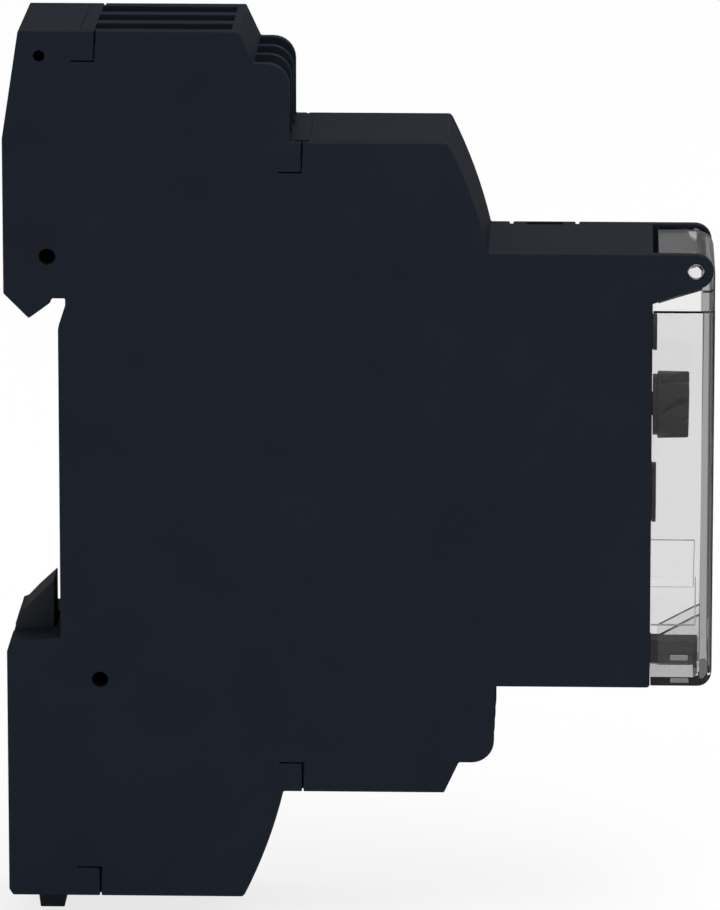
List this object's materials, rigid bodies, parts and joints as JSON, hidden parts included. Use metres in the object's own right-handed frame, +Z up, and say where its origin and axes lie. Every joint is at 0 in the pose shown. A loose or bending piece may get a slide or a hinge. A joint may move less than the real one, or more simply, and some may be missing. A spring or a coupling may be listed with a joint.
{
  "type": "din rail timer",
  "caption": "Slim stepped electronic time relay that snaps onto a top-hat rail, with screw terminals, adjustment dials and a hinged clear front cover.",
  "frame": {"origin": "middle of the flat rear face that bears on the rail, on the rail's centreline and in the middle of the module's width", "axes": "+X along the rail (the module's width), +Y out of the rear towards the mounting plate, so -Y is the front with the dials, +Z up"},
  "size_m": [0.0176, 0.0719, 0.0929],
  "materials": {
    "housing_plastic": "fine-textured moulded polycarbonate, dark blue-grey",
    "front_plastic": "smooth moulded polycarbonate, dark blue-grey",
    "latch_plastic": "moulded polyamide, dark grey",
    "carrier_plastic": "glass-filled polyamide, dark grey",
    "tinned_brass": "tinned brass strip",
    "circuit_board": "glass epoxy laminate with green solder mask",
    "black_moulding": "black moulding compound",
    "relay_shell": "blue moulded relay case",
    "natural_nylon": "natural nylon",
    "enamelled_copper": "enamelled copper wire winding",
    "soft_iron": "nickel-plated soft iron",
    "contact_brass": "contact brass",
    "capacitor_box": "yellow moulded capacitor box",
    "capacitor_sleeve": "shrink-sleeved capacitor can",
    "varistor_epoxy": "blue dipped epoxy",
    "resistor_lacquer": "pale blue resistor lacquer",
    "potentiometer_plastic": "blue potentiometer housing",
    "led_epoxy": "tinted epoxy lamp",
    "clear_acrylic": "clear acrylic light pipe",
    "clear_polycarbonate": "clear polycarbonate, polished",
    "knob_plastic": "moulded dark grey plastic",
    "plated_steel": "zinc-plated steel",
    "spring_steel": "drawn spring wire"
  },
  "bodies": {
    "housing": {"main_case": "housing_plastic", "side_cover": "housing_plastic", "front_plate": "front_plastic", "top_terminal_cover": "housing_plastic", "bottom_terminal_cover": "housing_plastic", "top_blank_cover": "housing_plastic", "bottom_blank_cover": "housing_plastic", "top_terminal_carrier": "carrier_plastic", "bottom_terminal_carrier": "carrier_plastic", "top_busbars": "tinned_brass", "bottom_busbars": "tinned_brass", "main_board": "circuit_board", "front_board": "circuit_board", "board_connector": "black_moulding", "relay_base": "black_moulding", "relay_cover": "relay_shell", "relay_bobbin": "natural_nylon", "relay_coil": "enamelled_copper", "relay_yoke": "soft_iron", "relay_contact": "contact_brass", "film_capacitor": "capacitor_box", "electrolytic_capacitors": "capacitor_sleeve", "varistor": "varistor_epoxy", "bridge_rectifier": "black_moulding", "dropper_resistors": "resistor_lacquer", "microcontroller": "black_moulding", "time_potentiometer": "potentiometer_plastic", "function_switch": "black_moulding", "range_switch": "black_moulding", "indicator_leds": "led_epoxy", "light_pipes": "clear_acrylic", "latch_spring": "spring_steel"},
    "cover": {"clear_cover": "clear_polycarbonate"},
    "time_knob": {"time_knob": "knob_plastic", "knob_shaft": "natural_nylon"},
    "function_selector": {"function_selector": "knob_plastic"},
    "range_selector": {"range_selector": "knob_plastic"},
    "latch": {"rail_latch": "latch_plastic"},
    "relay_armature": {"relay_armature": "soft_iron"},
    "top_screw_left": {"top_screw_left": "plated_steel"},
    "top_cage_left": {"top_cage_left": "plated_steel"},
    "top_screw_middle": {"top_screw_middle": "plated_steel"},
    "top_cage_middle": {"top_cage_middle": "plated_steel"},
    "top_screw_right": {"top_screw_right": "plated_steel"},
    "top_cage_right": {"top_cage_right": "plated_steel"},
    "bottom_screw_left": {"bottom_screw_left": "plated_steel"},
    "bottom_cage_left": {"bottom_cage_left": "plated_steel"},
    "bottom_screw_middle": {"bottom_screw_middle": "plated_steel"},
    "bottom_cage_middle": {"bottom_cage_middle": "plated_steel"},
    "bottom_screw_right": {"bottom_screw_right": "plated_steel"},
    "bottom_cage_right": {"bottom_cage_right": "plated_steel"}
  },
  "joints": [
    {"name": "cover_hinge", "type": "hinge", "parent": "housing", "child": "cover", "pos_m": [0, -0.0645, 0.02075], "axis": [-1, 0, 0], "range_deg": [0, 110]},
    {"name": "time_knob_turn", "type": "hinge", "parent": "housing", "child": "time_knob", "pos_m": [0, -0.06015, 0.0053], "axis": [0, 1, 0], "range_deg": [-150, 150]},
    {"name": "function_selector_turn", "type": "hinge", "parent": "housing", "child": "function_selector", "pos_m": [0, -0.06015, -0.0039], "axis": [0, 1, 0], "range_deg": [-135, 135]},
    {"name": "range_selector_turn", "type": "hinge", "parent": "housing", "child": "range_selector", "pos_m": [0, -0.06015, 0.01285], "axis": [0, 1, 0], "range_deg": [-135, 135]},
    {"name": "latch_slide", "type": "slide", "parent": "housing", "child": "latch", "axis": [0, 0, -1], "range_m": [0, 0.0046], "stiffness_N_per_m": 400, "springref_m": -0.004, "deforming": ["latch_spring"]},
    {"name": "armature_pivot", "type": "hinge", "parent": "housing", "child": "relay_armature", "pos_m": [0.0029, -0.025, 0], "axis": [0, 0, 1], "range_deg": [-3.5, 0], "stiffness_Nm_per_rad": 0.004, "springref_deg": 5.73},
    {"name": "top_screw_left_turn", "type": "hinge", "parent": "housing", "child": "top_screw_left", "pos_m": [-0.0052, -0.0163, 0.0382], "axis": [0, 1, 0], "range_deg": [0, 1800]},
    {"name": "top_cage_left_slide", "type": "slide", "parent": "housing", "child": "top_cage_left", "axis": [0, -1, 0], "range_m": [0, 0.0025]},
    {"name": "top_screw_middle_turn", "type": "hinge", "parent": "housing", "child": "top_screw_middle", "pos_m": [0, -0.0163, 0.0382], "axis": [0, 1, 0], "range_deg": [0, 1800]},
    {"name": "top_cage_middle_slide", "type": "slide", "parent": "housing", "child": "top_cage_middle", "axis": [0, -1, 0], "range_m": [0, 0.0025]},
    {"name": "top_screw_right_turn", "type": "hinge", "parent": "housing", "child": "top_screw_right", "pos_m": [0.0052, -0.0163, 0.0382], "axis": [0, 1, 0], "range_deg": [0, 1800]},
    {"name": "top_cage_right_slide", "type": "slide", "parent": "housing", "child": "top_cage_right", "axis": [0, -1, 0], "range_m": [0, 0.0025]},
    {"name": "bottom_screw_left_turn", "type": "hinge", "parent": "housing", "child": "bottom_screw_left", "pos_m": [-0.0052, -0.0371, -0.02695], "axis": [0, 1, 0], "range_deg": [0, 1800]},
    {"name": "bottom_cage_left_slide", "type": "slide", "parent": "housing", "child": "bottom_cage_left", "axis": [0, -1, 0], "range_m": [0, 0.0025]},
    {"name": "bottom_screw_middle_turn", "type": "hinge", "parent": "housing", "child": "bottom_screw_middle", "pos_m": [0, -0.0371, -0.02695], "axis": [0, 1, 0], "range_deg": [0, 1800]},
    {"name": "bottom_cage_middle_slide", "type": "slide", "parent": "housing", "child": "bottom_cage_middle", "axis": [0, -1, 0], "range_m": [0, 0.0025]},
    {"name": "bottom_screw_right_turn", "type": "hinge", "parent": "housing", "child": "bottom_screw_right", "pos_m": [0.0052, -0.0371, -0.02695], "axis": [0, 1, 0], "range_deg": [0, 1800]},
    {"name": "bottom_cage_right_slide", "type": "slide", "parent": "housing", "child": "bottom_cage_right", "axis": [0, -1, 0], "range_m": [0, 0.0025]}
  ],
  "couplings": [
    {"joint": "top_screw_left_turn", "follows": "top_cage_left_slide", "rad_per_m": 12566},
    {"joint": "top_screw_middle_turn", "follows": "top_cage_middle_slide", "rad_per_m": 12566},
    {"joint": "top_screw_right_turn", "follows": "top_cage_right_slide", "rad_per_m": 12566},
    {"joint": "bottom_screw_left_turn", "follows": "bottom_cage_left_slide", "rad_per_m": 12566},
    {"joint": "bottom_screw_middle_turn", "follows": "bottom_cage_middle_slide", "rad_per_m": 12566},
    {"joint": "bottom_screw_right_turn", "follows": "bottom_cage_right_slide", "rad_per_m": 12566}
  ]
}
